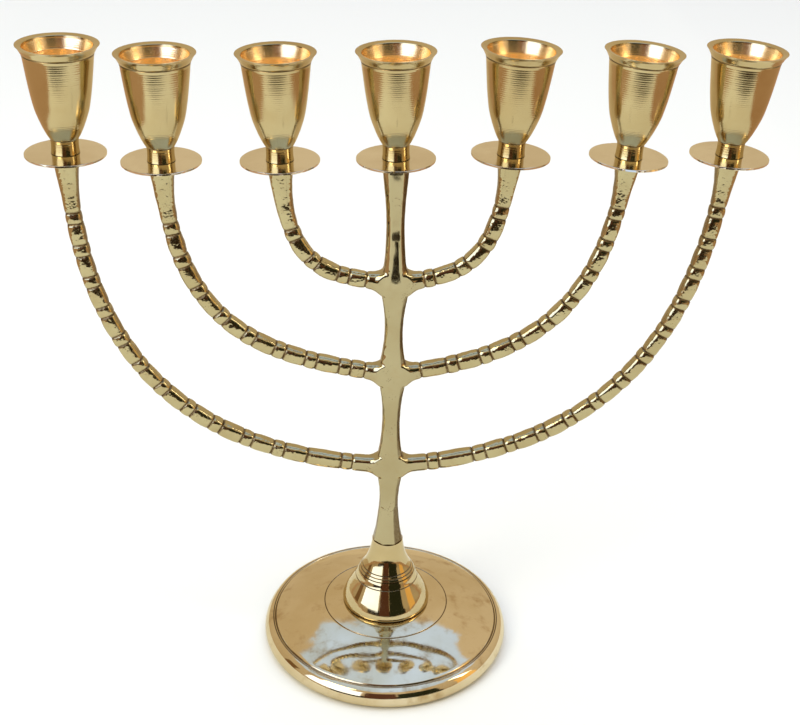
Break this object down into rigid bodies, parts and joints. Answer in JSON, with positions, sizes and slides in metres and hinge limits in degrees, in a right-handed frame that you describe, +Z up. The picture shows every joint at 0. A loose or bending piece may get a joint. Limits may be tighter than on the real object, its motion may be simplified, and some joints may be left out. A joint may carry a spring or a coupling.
{
  "type": "menorah",
  "caption": "Free-standing brass menorah: a central stem with curved arms, each tipped with a drip pan and turned candle cup, on a round domed base.",
  "frame": {"origin": "centre of the bounding box at the bottom of the base", "axes": "+X along the row of lights, +Y away from the front face, +Z up"},
  "size_m": [0.3246, 0.1244, 0.3104],
  "materials": {
    "polished_brass": "mirror polished, lightly streaked",
    "turned_brass": "lathe-turned with fine rings, polished",
    "cast_brass": "cast and buffed, with small pits",
    "plated_steel": "zinc plated"
  },
  "bodies": {
    "root": {"base_plate": "polished_brass", "pedestal": "polished_brass", "branch_casting": "cast_brass", "drip_pan_1": "turned_brass", "drip_pan_2": "turned_brass", "drip_pan_3": "turned_brass", "drip_pan_4": "turned_brass", "drip_pan_5": "turned_brass", "drip_pan_6": "turned_brass", "drip_pan_7": "turned_brass", "candle_cup_1": "turned_brass", "candle_cup_2": "turned_brass", "candle_cup_3": "turned_brass", "candle_cup_4": "turned_brass", "candle_cup_5": "turned_brass", "candle_cup_6": "turned_brass", "candle_cup_7": "turned_brass", "cup_stud_1": "plated_steel", "cup_stud_2": "plated_steel", "cup_stud_3": "plated_steel", "cup_stud_4": "plated_steel", "cup_stud_5": "plated_steel", "cup_stud_6": "plated_steel", "cup_stud_7": "plated_steel", "tie_stud": "plated_steel", "tie_washer": "plated_steel", "tie_nut": "plated_steel"}
  },
  "joints": []
}
